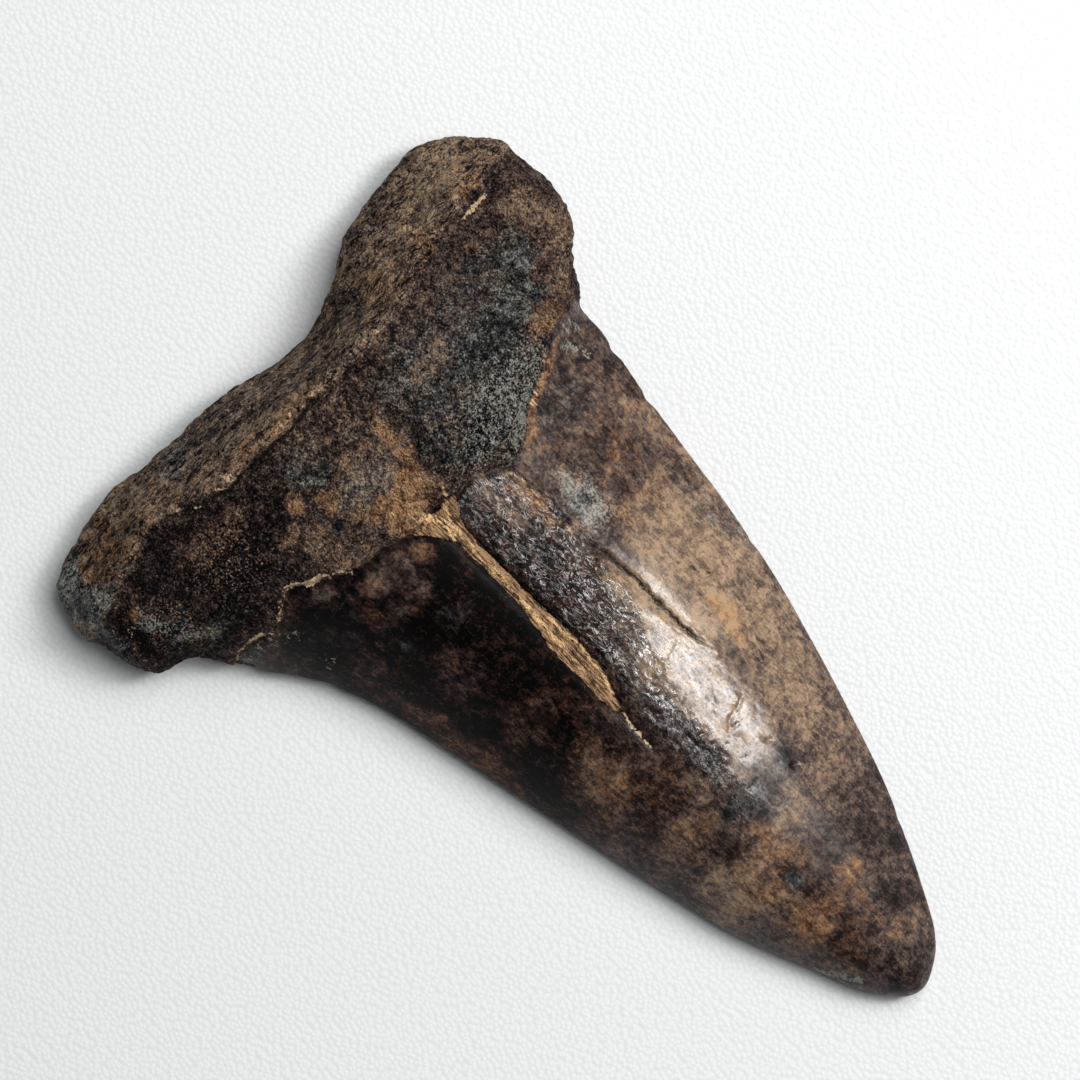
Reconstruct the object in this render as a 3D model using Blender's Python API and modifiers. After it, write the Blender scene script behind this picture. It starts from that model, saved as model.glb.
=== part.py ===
"""A fossil shark tooth that lies on its flat outer face, the crown's tip towards -Y and the root towards +Y.

Crown and root grew as one piece, so the tooth is one solid. It is made in four steps: the outline as a flat
slab, the slab swelled to the tooth's thickness, the cracks and ledges carved in, and the faces thinned out.
All values are in millimetres. Only the finished mesh is turned into metres.
"""

import bpy
import numpy as np
from mathutils import Vector, noise

METRES = 0.001

# Driving dimensions: the tooth's ends, and how thick it is.
TIP_Y = -32.5
BASE_Y = 32.5
RIDGE_TIP = 1.9
RIDGE_ROOT = 11.0
CUTTING_EDGE_HEIGHT = 1.2
CUTTING_EDGE_HALF_THICKNESS = 0.2
ROOT_SIDE_HEIGHT = 2.3

# The outline seen from above. Each list runs on from the one before it, anticlockwise from the tip.
RIGHT_CUTTING_EDGE = [(1.3, -32.5), (3.1, -32.0), (4.6, -30.8), (6.3, -28.0), (8.3, -24.0), (10.0, -20.0),
                      (11.7, -15.0), (13.2, -10.0), (14.5, -5.0), (15.5, 0.0), (16.2, 5.0), (17.0, 10.0),
                      (17.8, 14.0), (18.1, 16.4)]
RIGHT_LOBE = [(18.9, 18.0), (20.2, 20.2), (22.0, 22.3), (22.3, 24.4), (22.0, 27.4), (21.0, 29.7),
              (19.4, 31.5), (17.1, 32.5), (13.5, 32.1), (10.0, 31.3)]
BASE_NOTCH = [(7.0, 29.8), (4.0, 28.9), (1.6, 28.5), (-0.6, 28.9), (-2.8, 29.6), (-5.2, 29.8)]
LEFT_LOBE = [(-9.0, 30.0), (-14.0, 30.5), (-18.3, 29.7), (-20.7, 28.5), (-21.5, 26.4), (-21.4, 23.4),
             (-21.1, 20.9), (-19.8, 19.4), (-17.6, 18.7)]
LEFT_CUTTING_EDGE = [(-15.7, 16.1), (-15.4, 15.3), (-13.6, 13.0), (-12.0, 10.0), (-10.8, 6.5), (-9.9, 2.5),
                     (-8.8, -3.0), (-7.6, -9.0), (-6.3, -15.0), (-4.9, -20.6), (-2.9, -26.0), (-0.6, -31.0)]
OUTLINE = RIGHT_CUTTING_EDGE + RIGHT_LOBE + BASE_NOTCH + LEFT_LOBE + LEFT_CUTTING_EDGE
WIDEST_LEFT_Y = 23.4
WIDEST_RIGHT_Y = 24.4

# The neck, where the enamel of the crown ends and the bare root begins.
NECK = [(-18.0, 16.2), (-14.0, 16.4), (-11.8, 15.9), (-10.4, 16.9), (-9.2, 17.1), (-7.8, 16.2), (-5.6, 15.0),
        (-3.0, 14.4), (-0.4, 13.6), (1.0, 14.4), (2.6, 13.9), (4.6, 13.9), (7.2, 12.6), (9.2, 13.2),
        (10.4, 14.4), (12.6, 15.5), (15.4, 16.3), (20.0, 17.4)]
NECK_STEP = 0.45
NECK_STEP_WIDTH = 1.1

# The crease between the root's inner face and its sloping base.
BASE_CREASE = [(-24.0, 23.6), (-20.0, 24.7), (-16.5, 25.4), (-13.0, 26.2), (-10.5, 25.4), (-7.5, 24.8),
               (0.0, 24.9), (8.0, 24.8), (12.5, 26.0), (17.0, 27.4), (24.0, 28.0)]

# Cracks along the crown: the route from the neck towards the tip, then how wide and deep each one is.
FILLED_CRACK = [(1.1, 15.0), (1.2, 12.0), (1.2, 8.0), (1.25, 5.0), (1.05, 2.0), (0.9, 0.0), (0.7, -2.5),
                (0.5, -4.5), (0.25, -7.5)]
FILLED_CRACK_WIDTH = 1.35
FILLED_CRACK_DEPTH = 0.55
FINE_CRACK = [(6.9, 12.8), (7.3, 9.0), (7.1, 5.5), (7.4, 2.5), (7.45, -2.5), (7.9, -6.2)]
FINE_CRACK_WIDTH = 0.9
FINE_CRACK_DEPTH = 0.35

# Rounding, swelling and roughness.
LOBE_ROUNDING = 4.6
EDGE_ROUNDING = 1.2
CROWN_BULGE_POWER = 0.88
CROWN_CREST_SHIFT = 0.18
RIDGE_RISE_POWER = 0.58
BASE_SLOPE = 0.55
LOBE_THINNING = 0.44
LOBE_THINNING_REACH = (5.0, 20.0)
CREASE_LEDGE = 0.4
CREASE_LEDGE_REACH = 2.6
UNDERSIDE_REACH_CROWN = 6.5
UNDERSIDE_REACH_ROOT = 4.2
UNDERSIDE_OVERSHOOT = 1.06
OUTER_HOLLOW_CENTRE = (1.0, 19.0)
OUTER_HOLLOW_REACH = (12.0, 9.0)
OUTER_HOLLOW_DEPTH = 1.0
ROOT_LUMP = 0.42
ROOT_LUMP_SPAN = 5.5
ROOT_PIT = 0.3
ROOT_PIT_SPAN = (2.4, 1.5, 1.5)
CROWN_LUMP = 0.1
CROWN_LUMP_SPAN = 7.0
BAND_WRINKLE = 0.13
BAND_WRINKLE_SPAN = (0.8, 3.2, 3.0)

# Face sizes: the slab is remeshed to even faces, and the finished surface is thinned out.
SLAB_HALF_THICKNESS = 1.0
SLAB_FACE = 0.36
SMOOTHING_PASSES = 3
TRIANGLES = 9000


def clear_scene():
    for old in list(bpy.data.objects):
        bpy.data.objects.remove(old, do_unlink=True)


def smoothstep(value, low, high):
    share = np.clip((value - low) / (high - low), 0.0, 1.0)
    return share * share * (3.0 - 2.0 * share)


def along(points, x):
    """The y of a hand-drawn line at each x, for a line that never turns back in x."""
    line = np.array(points)
    return np.interp(x, line[:, 0], line[:, 1])


def nearest_on(line, points):
    """For each point, the nearest point of a polyline and how far off it is."""
    starts, steps = line[:-1], np.diff(line, axis=0)
    offsets = points[:, None, :] - starts[None, :, :]
    share = np.clip((offsets * steps).sum(2) / (steps * steps).sum(1), 0.0, 1.0)
    feet = starts[None, :, :] + share[:, :, None] * steps[None, :, :]
    distance = np.linalg.norm(points[:, None, :] - feet, axis=2)
    best = distance.argmin(1)
    rows = np.arange(len(points))
    return feet[rows, best], distance[rows, best]


def noise_at(points, span):
    """Smooth noise from -1 to 1, whose bumps are about as long as span, one number or one for each axis."""
    scaled = points / np.broadcast_to(span, 3)
    return np.array([noise.noise(Vector(p)) for p in scaled])


def outline_curve():
    """The outline as a flat closed curve that passes smoothly through every point."""
    data = bpy.data.curves.new("tooth outline", "CURVE")
    data.dimensions = "2D"
    data.resolution_u = 8
    spline = data.splines.new("BEZIER")
    spline.bezier_points.add(len(OUTLINE) - 1)
    spline.use_cyclic_u = True
    for knot, (x, y) in zip(spline.bezier_points, OUTLINE):
        knot.co = (x, y, 0.0)
        knot.handle_left_type = knot.handle_right_type = "AUTO"
    outline = bpy.data.objects.new("tooth outline", data)
    bpy.context.scene.collection.objects.link(outline)
    return outline


def mesh_of(source):
    """The object's mesh with its modifiers applied."""
    bpy.context.view_layer.update()
    graph = bpy.context.evaluated_depsgraph_get()
    return bpy.data.meshes.new_from_object(source.evaluated_get(graph))


def with_modifier(mesh, kind, **settings):
    """The mesh after one modifier."""
    holder = bpy.data.objects.new("modifier helper", mesh)
    bpy.context.scene.collection.objects.link(holder)
    modifier = holder.modifiers.new(kind, kind)
    for setting, value in settings.items():
        setattr(modifier, setting, value)
    changed = mesh_of(holder)
    bpy.data.objects.remove(holder)
    return changed


def positions(mesh):
    points = np.empty(len(mesh.vertices) * 3)
    mesh.vertices.foreach_get("co", points)
    return points.reshape(-1, 3)


def place(mesh, points):
    mesh.vertices.foreach_set("co", points.astype(np.float32).ravel())
    mesh.update()


def normals(mesh):
    directions = np.empty(len(mesh.vertices) * 3, np.float32)
    mesh.vertex_normals.foreach_get("vector", directions)
    return directions.reshape(-1, 3).astype(float)


def side_x(rim, below_y, side):
    """The outline on one side of the tip, from the tip up to its widest place, ordered by y."""
    tip_x = OUTLINE[0][0]
    line = rim[(rim[:, 1] <= below_y) & (side * (rim[:, 0] - tip_x) >= 0.0)]
    return line[np.argsort(line[:, 1])]


def root_share(x, y):
    """0 on the crown and 1 on the root, with a soft change at the neck."""
    return smoothstep(y - along(NECK, x), -1.5, 3.5)


def quarter_round(inset, reach):
    """From 0 at the rim, where it stands upright, to 1 at the given reach, where it is level."""
    left = 1.0 - np.clip(inset / reach, 0.0, 1.0)
    return np.sqrt(1.0 - left ** 2)


def drawn_to_rim(points, rim):
    """Moves the slab's points closer to the rim, so that its steep sides get as many as its top.

    Returns the new x and y, and the distance of each point from the rim."""
    foot, inset = nearest_on(np.vstack([rim, rim[:1]]), points[:, :2])
    reach = EDGE_ROUNDING + (LOBE_ROUNDING - EDGE_ROUNDING) * root_share(points[:, 0], points[:, 1])
    turn = 0.5 * np.pi * np.clip(inset / reach, 0.0, 1.0)
    drawn = np.where(inset < reach, reach * (1.0 - np.cos(turn)), inset)
    outward = (points[:, :2] - foot) / np.maximum(inset, 1e-6)[:, None]
    return foot + outward * drawn[:, None], drawn


def top_height(x, y, inset, rim):
    """The height of the tooth's inner face, which lies uppermost."""
    root = root_share(x, y)
    left, right = side_x(rim, WIDEST_LEFT_Y, -1.0), side_x(rim, WIDEST_RIGHT_Y, 1.0)
    left_x = np.interp(y, left[:, 1], left[:, 0])
    right_x = np.interp(y, right[:, 1], right[:, 0])
    across = np.clip((2.0 * x - left_x - right_x) / (right_x - left_x), -1.0, 1.0)

    # Across the crown the section is a lens with its crest left of the middle, and around the root it is a
    # slab with rounded sides.
    shifted = across + CROWN_CREST_SHIFT * (1.0 - across ** 2)
    lens = (1.0 - shifted ** 2) ** CROWN_BULGE_POWER
    section = lens + (quarter_round(inset, LOBE_ROUNDING) - lens) * root

    # Behind the crease the root slopes down to the rim of its base.
    behind = np.clip(y - along(BASE_CREASE, x), 0.0, None)
    base = 1.0 - BASE_SLOPE * behind / np.maximum(behind + inset, 1e-6)

    rise = np.clip((y - TIP_Y) / (BASE_Y - TIP_Y), 0.0, 1.0) ** RIDGE_RISE_POWER
    ridge = RIDGE_TIP + (RIDGE_ROOT - RIDGE_TIP) * rise

    # The root is thickest in its middle, and its lobes are thinner.
    ridge *= 1.0 - LOBE_THINNING * root * smoothstep(np.abs(x), *LOBE_THINNING_REACH)
    edge = edge_height(root)
    return edge + (ridge - edge) * section * base


def edge_height(root):
    return CUTTING_EDGE_HEIGHT + (ROOT_SIDE_HEIGHT - CUTTING_EDGE_HEIGHT) * root


def underside_height(x, y, inset):
    """The height of the outer face. It bulges gently down, to below 0 where it is worn flat later."""
    root = root_share(x, y)
    crown_curve = 1.0 - (1.0 - np.clip(inset / UNDERSIDE_REACH_CROWN, 0.0, 1.0)) ** 2
    root_curve = quarter_round(inset, UNDERSIDE_REACH_ROOT)
    curve = crown_curve + (root_curve - crown_curve) * root
    hollow_x = (x - OUTER_HOLLOW_CENTRE[0]) / OUTER_HOLLOW_REACH[0]
    hollow_y = (y - OUTER_HOLLOW_CENTRE[1]) / OUTER_HOLLOW_REACH[1]
    hollow = OUTER_HOLLOW_DEPTH * (1.0 - smoothstep(np.hypot(hollow_x, hollow_y), 0.0, 1.0))
    return edge_height(root) * (1.0 - UNDERSIDE_OVERSHOOT * curve) + hollow * curve


def swell(points, rim):
    """Moves the slab's top up to the tooth's inner face, and its bottom down to the outer face.

    The slab's rim becomes the blunt cutting edge."""
    level = np.clip(points[:, 2] / SLAB_HALF_THICKNESS, -1.0, 1.0)
    moved, inset = drawn_to_rim(points, rim)
    x, y = moved.T
    edge = edge_height(root_share(x, y))
    face = np.where(level > 0.0, top_height(x, y, inset, rim), underside_height(x, y, inset))
    height = edge + (face - edge) * np.abs(level) + CUTTING_EDGE_HALF_THICKNESS * level
    return np.column_stack([moved, height])


def groove(points, route, width, depth):
    """How deep a crack cuts at each point. It narrows to nothing at its lower end."""
    line = np.array(route)
    _, off = nearest_on(line, points[:, :2])
    fade = smoothstep(points[:, 1], line[-1, 1] - 0.5, line[-1, 1] + 6.0)
    half_width = 0.5 * width * (0.45 + 0.55 * fade)
    return depth * fade * np.clip(1.0 - off / half_width, 0.0, 1.0) ** 0.7


def carve(points, outward):
    """The ledges at the neck and the base, the cracks, the wrinkles between them, and the root's lumps."""
    x, y, z = points.T
    inner_face = smoothstep(outward[:, 2], -0.2, 0.3)
    above_floor = smoothstep(z, 0.3, 1.6)
    root = root_share(x, y)
    above_neck = y - along(NECK, x)
    behind = y - along(BASE_CREASE, x)

    neck_ledge = NECK_STEP * (smoothstep(above_neck, 0.0, NECK_STEP_WIDTH) - root)
    past_ledge = smoothstep(behind, 0.4, CREASE_LEDGE_REACH)
    base_ledge = CREASE_LEDGE * smoothstep(behind, -0.3, 0.4) * (1.0 - past_ledge)
    cracks = np.maximum(groove(points, FILLED_CRACK, FILLED_CRACK_WIDTH, FILLED_CRACK_DEPTH),
                        groove(points, FINE_CRACK, FINE_CRACK_WIDTH, FINE_CRACK_DEPTH))
    band = (smoothstep(x, 1.6, 2.4) * (1.0 - smoothstep(x, 5.0, 7.0))
            * smoothstep(y, -18.0, -12.0) * (1.0 - smoothstep(above_neck, -1.5, 0.0)))
    wrinkles = band * BAND_WRINKLE * noise_at(points, BAND_WRINKLE_SPAN)
    lumps = (root * ROOT_LUMP * noise_at(points + 31.0, ROOT_LUMP_SPAN)
             + (1.0 - root) * CROWN_LUMP * noise_at(points + 57.0, CROWN_LUMP_SPAN))
    pits = root * ROOT_PIT * np.minimum(0.0, noise_at(points + 83.0, ROOT_PIT_SPAN) + 0.15)
    raised = inner_face * (neck_ledge + base_ledge - cracks + wrinkles) + above_floor * (lumps + pits)
    carved = points + outward * raised[:, None]

    # The outer face is worn flat where the tooth lies on it.
    carved[:, 2] = np.maximum(carved[:, 2], 0.0)
    return carved


def tooth_material():
    made = bpy.data.materials.new("mineralised tooth")
    made.use_nodes = True
    shader = made.node_tree.nodes["Principled BSDF"]
    shader.inputs["Base Color"].default_value = (0.07, 0.045, 0.033, 1.0)
    shader.inputs["Roughness"].default_value = 0.42
    shader.inputs["Metallic"].default_value = 0.0
    return made


def tooth_object(mesh):
    """The finished tooth, with its faces thinned out where the surface is smooth."""
    tooth = bpy.data.objects.new("shark_tooth", mesh)
    mesh.materials.clear()
    mesh.materials.append(tooth_material())
    mesh.shade_smooth()
    thinned = tooth.modifiers.new("Thinned faces", "DECIMATE")
    thinned.ratio = TRIANGLES / sum(len(face.vertices) - 2 for face in mesh.polygons)
    thinned.use_collapse_triangulate = True
    return tooth


def main():
    clear_scene()
    outline = outline_curve()
    rim = positions(mesh_of(outline))[:, :2]

    outline.data.fill_mode = "BOTH"
    outline.data.extrude = SLAB_HALF_THICKNESS
    form = with_modifier(mesh_of(outline), "REMESH", mode="VOXEL", voxel_size=SLAB_FACE)
    bpy.data.objects.remove(outline)
    place(form, swell(positions(form), rim))
    form = with_modifier(form, "SMOOTH", iterations=SMOOTHING_PASSES)

    middle = (0.5 * (rim[:, 0].min() + rim[:, 0].max()), 0.5 * (TIP_Y + BASE_Y), 0.0)
    place(form, (carve(positions(form), normals(form)) - middle) * METRES)

    collection = bpy.data.collections.new("Fossil shark tooth")
    bpy.context.scene.collection.children.link(collection)
    collection.objects.link(tooth_object(form))


main()
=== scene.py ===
"""The looks of a fossil shark tooth lying on its flat outer face: its fine surface, stains and light.

Everything on the tooth is placed in the millimetres of one drawing, seen from above: x across the tooth,
and y from the crown's tip, at -32.5, to the root's base, at 32.5. The tooth's own frame is that drawing in
metres, with its middle moved to x 0.
"""

import bmesh
import bpy
import numpy as np
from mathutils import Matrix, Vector, noise


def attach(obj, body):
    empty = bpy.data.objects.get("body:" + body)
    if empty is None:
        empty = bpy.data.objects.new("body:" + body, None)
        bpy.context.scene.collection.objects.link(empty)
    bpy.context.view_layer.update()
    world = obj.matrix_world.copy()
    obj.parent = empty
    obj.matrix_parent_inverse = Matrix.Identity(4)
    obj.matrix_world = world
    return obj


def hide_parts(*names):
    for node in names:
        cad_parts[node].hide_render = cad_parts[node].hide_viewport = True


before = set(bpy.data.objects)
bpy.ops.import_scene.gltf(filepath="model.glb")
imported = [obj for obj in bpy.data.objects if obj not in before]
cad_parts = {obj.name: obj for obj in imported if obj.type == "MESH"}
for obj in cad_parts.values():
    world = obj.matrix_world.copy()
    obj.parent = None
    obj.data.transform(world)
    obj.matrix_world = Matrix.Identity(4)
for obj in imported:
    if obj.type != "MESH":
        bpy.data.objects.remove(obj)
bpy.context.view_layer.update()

MM = 0.001
DRAWING_MIDDLE_X = 0.364

# How fine the surface is: the size of its even faces in millimetres, how often they are smoothed, and how
# many triangles are kept at the end.
FACE_SIZE = 0.145
SMOOTH_STEPS = 9
TRIANGLES = 193000

# Lines of the drawing. The neck is where the crown's enamel ends, and the crease is where the base begins.
NECK = [(-18.0, 16.2), (-15.5, 16.4), (-14.0, 16.6), (-12.2, 15.9), (-11.0, 16.4), (-10.2, 17.0),
        (-9.4, 17.3), (-8.5, 16.6), (-7.8, 16.2), (-6.0, 15.2), (-3.0, 14.5), (-0.4, 13.6), (1.0, 14.2),
        (2.6, 13.9), (4.6, 13.9), (7.2, 12.6), (9.2, 13.3), (10.4, 14.5), (12.6, 15.4), (15.0, 16.9),
        (16.5, 17.3), (20.0, 17.6)]
CREASE = [(-24.0, 23.6), (-20.0, 24.7), (-16.5, 25.4), (-13.0, 26.6), (-10.5, 26.0), (-7.5, 24.9),
          (0.0, 24.9), (8.0, 24.8), (12.5, 26.0), (17.0, 27.4), (24.0, 28.0)]
FILL_LEFT = [(0.4, -5.2), (0.2, -4.0), (0.1, -2.5), (0.1, 0.0), (0.2, 2.0), (0.7, 5.0), (0.85, 8.0),
             (0.75, 11.5), (-0.2, 13.0), (-1.4, 14.2)]
FILL_RIGHT = [(0.5, -5.2), (0.9, -3.5), (1.5, -2.0), (1.7, 0.0), (1.9, 2.0), (1.7, 4.5), (1.7, 8.0),
              (1.75, 11.5), (2.4, 13.0), (3.2, 14.2)]
FILL_MIDDLE = [(0.5, -4.6), (0.6, -2.5), (1.0, 0.0), (1.1, 4.0), (1.2, 8.0), (1.2, 13.5)]
HAIRLINE = [(0.45, -3.4), (0.35, -5.0), (0.3, -6.2), (0.2, -7.6)]
FINE_CRACK = [(7.0, 12.3), (7.3, 9.0), (7.1, 5.0), (7.35, 3.0), (7.5, 1.0), (7.45, -3.0), (7.6, -4.5),
              (7.9, -6.2)]
LOBE_FURROW = [(-18.6, 19.6), (-19.3, 21.0), (-19.3, 23.0), (-18.6, 24.6), (-16.8, 25.4), (-14.6, 26.0)]

# The underside's neck: its y in the middle, the x of the middle, and how fast it bends towards the tip.
OUTER_NECK = 18.2
OUTER_NECK_MIDDLE = 1.0
OUTER_NECK_BEND = 0.012

# The spans of the two noises, large and small, that make the drawing's lines and patches ragged.
WANDER_SPAN = 1.7
SHIVER_SPAN = 0.5

# Heights and depths of the fine surface in millimetres.
LIP_HEIGHT = 0.13
LIP_UNDERCUT = 0.2
FILL_SWELL = 0.4
FILL_FIBRES = 0.1
FILL_SINK = 0.04
FILL_GROOVE_DEPTH = 0.22
HAIRLINE_DEPTH = 0.14
FINE_CRACK_DEPTH = 0.4
FINE_CRACK_RIMS = 0.06
LONG_RIDGES = 0.07
SHORT_RIDGES = 0.045
POLISH_PITS = 0.08
LARGE_LUMPS = 0.16
SMALL_LUMPS = 0.13
BONE_GRAINS = 0.12
BONE_PORES = 0.22
BASE_LAYERS = 0.12
LOBE_FURROW_DEPTH = 0.3
CROWN_SWELL = 0.03
CROWN_GRAIN = 0.008

# No fine surface is raised on the face that the tooth rests on. It grows over these heights in millimetres.
CLEAR_OF_FLOOR = (0.02, 0.5)


# Shapes in the drawing

def smoothstep(value, low, high):
    share = np.clip((value - low) / (high - low), 0.0, 1.0)
    return share * share * (3.0 - 2.0 * share)


def bump(distance, reach):
    """1 at no distance, falling softly to nothing at about twice the reach."""
    return np.exp(-(distance / reach) ** 2)


def waves(points, span, seed):
    """Smooth noise from -1 to 1 with features about as long as span, one number or one for each axis."""
    scaled = points / np.broadcast_to(span, 3) + seed
    return np.array([noise.noise(Vector(p)) for p in scaled])


def along(line, x):
    """A line's y at each x."""
    line = np.array(line)
    return np.interp(x, line[:, 0], line[:, 1])


def across(line, y):
    """A line's x at each y."""
    line = np.array(line)
    order = np.argsort(line[:, 1])
    return np.interp(y, line[order, 1], line[order, 0])


def off(line, flat):
    """How far each point of the drawing is from a line."""
    line = np.array(line)
    starts, steps = line[:-1], np.diff(line, axis=0)
    offsets = flat[:, None, :] - starts
    share = np.clip((offsets * steps).sum(2) / (steps * steps).sum(1), 0.0, 1.0)
    return np.linalg.norm(offsets - share[:, :, None] * steps, axis=2).min(1)


def patch(flat, x, y, half_x, half_y, turn=0.0):
    """1 within an oval and 0 outside, with a soft rim."""
    angle = np.radians(turn)
    dx, dy = flat[:, 0] - x, flat[:, 1] - y
    u = (dx * np.cos(angle) + dy * np.sin(angle)) / half_x
    v = (dy * np.cos(angle) - dx * np.sin(angle)) / half_y
    return 1.0 - smoothstep(np.hypot(u, v), 0.55, 1.35)


def positions(mesh):
    points = np.empty(len(mesh.vertices) * 3)
    mesh.vertices.foreach_get("co", points)
    return points.reshape(-1, 3)


def normals(mesh):
    directions = np.empty(len(mesh.vertices) * 3, np.float32)
    mesh.vertex_normals.foreach_get("vector", directions)
    return directions.reshape(-1, 3).astype(float)


def place(mesh, points):
    mesh.vertices.foreach_set("co", points.astype(np.float32).ravel())
    mesh.update()


# The fine surface

def merged_copy(node):
    """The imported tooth's mesh with its loose triangles joined, in the drawing's millimetres."""
    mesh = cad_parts[node].data.copy()
    form = bmesh.new()
    form.from_mesh(mesh)
    bmesh.ops.remove_doubles(form, verts=form.verts, dist=1e-7)
    form.to_mesh(mesh)
    form.free()
    place(mesh, positions(mesh) / MM + (DRAWING_MIDDLE_X, 0.0, 0.0))
    return mesh


def with_modifiers(mesh, *steps):
    """The mesh after some modifiers, each given as its type and its settings."""
    holder = bpy.data.objects.new("modifier helper", mesh)
    bpy.context.scene.collection.objects.link(holder)
    for kind, settings in steps:
        modifier = holder.modifiers.new(kind, kind)
        for setting, value in settings.items():
            setattr(modifier, setting, value)
    bpy.context.view_layer.update()
    changed = bpy.data.meshes.new_from_object(holder.evaluated_get(bpy.context.evaluated_depsgraph_get()))
    bpy.data.objects.remove(holder)
    return changed


def evened(mesh):
    """The mesh remade with small even faces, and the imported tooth's facets smoothed out."""
    return with_modifiers(mesh, ("SUBSURF", {"levels": 1, "render_levels": 1}),
                          ("REMESH", {"mode": "VOXEL", "voxel_size": FACE_SIZE}),
                          ("SMOOTH", {"iterations": SMOOTH_STEPS}))


def thinned(mesh):
    """The mesh with fewer faces where it is smooth."""
    count = sum(len(face.vertices) - 2 for face in mesh.polygons)
    return with_modifiers(mesh, ("DECIMATE", {"ratio": TRIANGLES / count}))


class Ground:
    """What each point of the surface is: its place in the drawing, and which part of the tooth it is on."""

    def __init__(self, points, outward):
        self.points = points
        self.flat = points[:, :2]
        self.x, self.y, self.z = points.T
        self.wander = np.column_stack([waves(points, WANDER_SPAN, 5.0), waves(points, WANDER_SPAN, 9.0)])
        self.shiver = np.column_stack([waves(points, SHIVER_SPAN, 15.0), waves(points, SHIVER_SPAN, 19.0)])
        self.inner = smoothstep(outward[:, 2], -0.05, 0.25)
        self.outer = smoothstep(-outward[:, 2], 0.1, 0.5)
        ragged = 0.22 * self.wander[:, 1] + 0.16 * self.shiver[:, 1]
        outer_neck = OUTER_NECK - OUTER_NECK_BEND * (self.x - OUTER_NECK_MIDDLE) ** 2 + ragged
        inner_neck = along(NECK, self.x) + ragged
        self.above_neck = self.y - (inner_neck + (outer_neck - inner_neck) * self.outer)
        self.root = smoothstep(self.above_neck, -0.12, 0.12)
        self.behind = self.y - along(CREASE, self.x) - 0.3 * self.wander[:, 0] - 0.12 * self.shiver[:, 0]
        self.base = smoothstep(self.behind, -0.2, 0.3) * (1.0 - 0.6 * self.outer)
        self.fill = self.crack_fill()
        self.band = self.rough_band()

    def crack_fill(self):
        """1 on the mineral that fills the wide crack, which opens like a funnel at the neck."""
        ragged = 0.1 * self.shiver[:, 0] + 0.1 * self.wander[:, 0]
        left = smoothstep(self.x - across(FILL_LEFT, self.y) + ragged, -0.06, 0.1)
        right = 1.0 - smoothstep(self.x - across(FILL_RIGHT, self.y) + ragged, -0.1, 0.06)
        ends = smoothstep(self.y, -4.6, -3.8) * (1.0 - smoothstep(self.y, 13.2, 14.4))
        return left * right * ends * self.inner

    def rough_band(self):
        """1 on the wrinkled strip between the two cracks, which runs down beside the crown's polish."""
        right_side = np.interp(self.y, [-18.0, -12.0, -4.0, 1.0, 14.0], [2.6, 3.4, 4.8, 6.8, 7.0])
        left_side = np.interp(self.y, [-18.0, -6.0, 0.0, 14.0], [0.4, 0.8, 1.6, 1.9])
        ragged = 0.5 * self.wander[:, 0] + 0.25 * self.shiver[:, 0]
        sides = (smoothstep(self.x - left_side, -0.2, 0.3)
                 * (1.0 - smoothstep(self.x - right_side + ragged, -0.5, 0.5)))
        ends = smoothstep(self.y, -17.5, -13.0) * (1.0 - smoothstep(self.above_neck, -0.6, 0.0))
        return sides * ends * self.inner


def ledges(ground):
    """The lip of the root over the enamel, and the furrow under the base's crease."""
    lip = (LIP_HEIGHT * bump(ground.above_neck - 0.35, 0.3)
           - LIP_UNDERCUT * bump(ground.above_neck + 0.12, 0.2))
    sharp = smoothstep(ground.x, -12.0, -8.0) * (1.0 - smoothstep(ground.x, 0.0, 5.0))
    furrow = (0.04 + 0.16 * sharp) * bump(ground.behind + 0.2, 0.2)
    brow = (0.04 + 0.12 * sharp) * bump(ground.behind - 0.3, 0.4)
    return lip * (0.35 + 0.65 * ground.inner) + ground.inner * (brow - furrow)


def cracks(ground):
    """The filled crack, with a groove on its right, the hairline below it, and the narrow deep crack."""
    fibres = waves(ground.points, (0.22, 1.6, 1.0), 23.0)
    flat = ground.flat + 0.12 * ground.shiver + 0.1 * ground.wander
    filled = ground.fill * (FILL_SWELL * bump(off(FILL_MIDDLE, flat), 0.6) + FILL_FIBRES * fibres - FILL_SINK)
    right_wall = across(FILL_RIGHT, ground.y) - ground.x
    reach = smoothstep(ground.y, -4.2, -2.0) * (1.0 - smoothstep(ground.y, 11.0, 13.0))
    groove = -FILL_GROOVE_DEPTH * reach * bump(right_wall + 0.1 * ground.shiver[:, 0] - 0.02, 0.13)
    hair = -HAIRLINE_DEPTH * bump(off(HAIRLINE, flat), 0.12)
    from_fine = off(FINE_CRACK, ground.flat + 0.22 * ground.shiver + 0.12 * ground.wander)
    open_part = smoothstep(ground.y, -6.4, -3.0) * (1.0 - 0.9 * smoothstep(ground.y, 3.0, 7.0))
    fine = -FINE_CRACK_DEPTH * open_part * bump(from_fine, 0.12)
    healed = (0.12 + 0.2 * smoothstep(ground.y, 3.0, 7.0)) * bump(from_fine, 0.36)
    rims = FINE_CRACK_RIMS * open_part * bump(from_fine - 0.34, 0.2) * waves(ground.points, 0.6, 29.0)
    return filled + ground.inner * (groove + hair + fine + healed + rims)


# Each is a line and its depth.
SCRATCHES = [
    ([(4.7, -10.5), (5.3, -10.0), (6.3, -9.8), (7.0, -9.5)], 0.07),
    ([(5.0, -10.5), (5.6, -10.6)], 0.09),
    ([(5.2, -4.3), (6.6, -3.8)], 0.03),
    ([(6.0, -12.7), (6.3, -13.0)], 0.08),
    ([(3.2, -9.3), (3.5, -9.6)], 0.1),
    ([(3.3, -10.3), (3.5, -10.6)], 0.12),
    ([(6.0, -15.2), (6.5, -15.4)], 0.08),
]


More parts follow.
